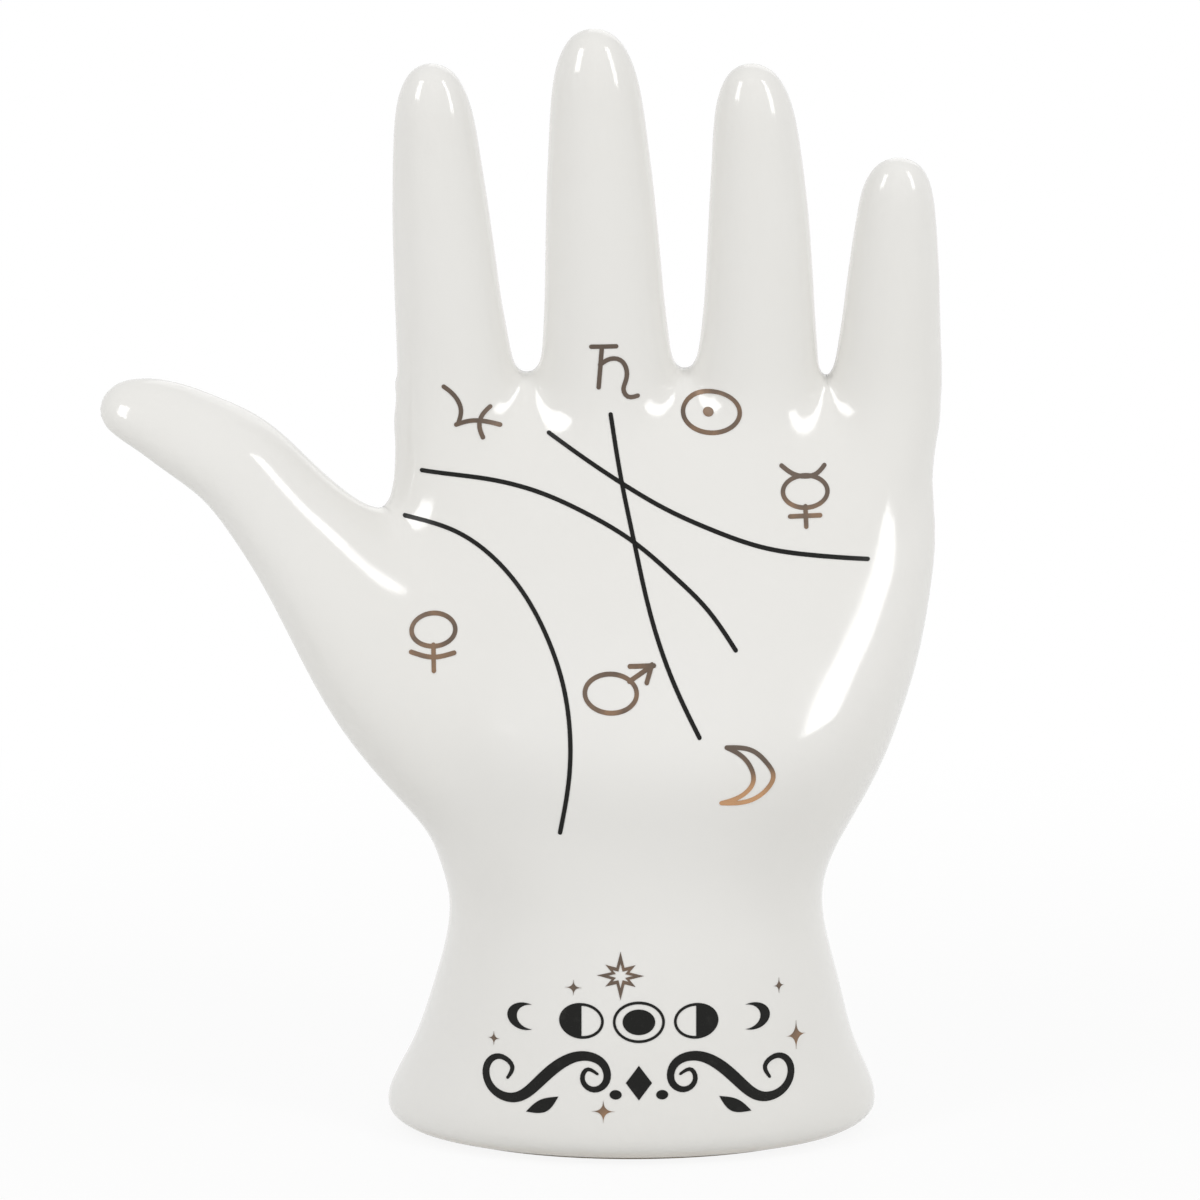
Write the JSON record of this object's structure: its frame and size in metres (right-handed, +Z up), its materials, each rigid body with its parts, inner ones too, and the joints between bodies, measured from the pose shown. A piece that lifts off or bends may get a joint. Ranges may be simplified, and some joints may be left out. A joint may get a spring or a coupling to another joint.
{
  "type": "ceramic hand sculpture",
  "caption": "Glazed ceramic palmistry hand standing upright on a flared cuff, palm forward, with printed lines, planet signs and a cuff ornament.",
  "frame": {"origin": "centre of the foot, on the plane the hand stands on", "axes": "+Z up towards the fingertips, -Y out of the palm, -X towards the thumb"},
  "size_m": [0.1735, 0.072, 0.2252],
  "materials": {
    "bisque": "unglazed",
    "glaze": "glossy",
    "black_enamel": "satin",
    "copper_lustre": "metallic"
  },
  "bodies": {
    "root": {"ceramic_body": "bisque", "glaze_coat": "glaze", "heart_line": "black_enamel", "head_line": "black_enamel", "fate_line": "black_enamel", "life_line": "black_enamel", "moon_phase_1": "black_enamel", "moon_phase_2": "black_enamel", "moon_phase_3": "black_enamel", "moon_phase_4": "black_enamel", "moon_phase_5": "black_enamel", "scroll_left": "black_enamel", "scroll_right": "black_enamel", "leaf_left": "black_enamel", "leaf_right": "black_enamel", "bead_left": "black_enamel", "bead_right": "black_enamel", "lozenge": "black_enamel", "jupiter_sign": "copper_lustre", "saturn_sign": "copper_lustre", "sun_sign": "copper_lustre", "mercury_sign": "copper_lustre", "venus_sign": "copper_lustre", "mars_sign": "copper_lustre", "moon_sign": "copper_lustre", "eight_pointed_star": "copper_lustre", "sparkle_1": "copper_lustre", "sparkle_2": "copper_lustre", "sparkle_3": "copper_lustre", "sparkle_4": "copper_lustre", "sparkle_5": "copper_lustre"}
  },
  "joints": []
}
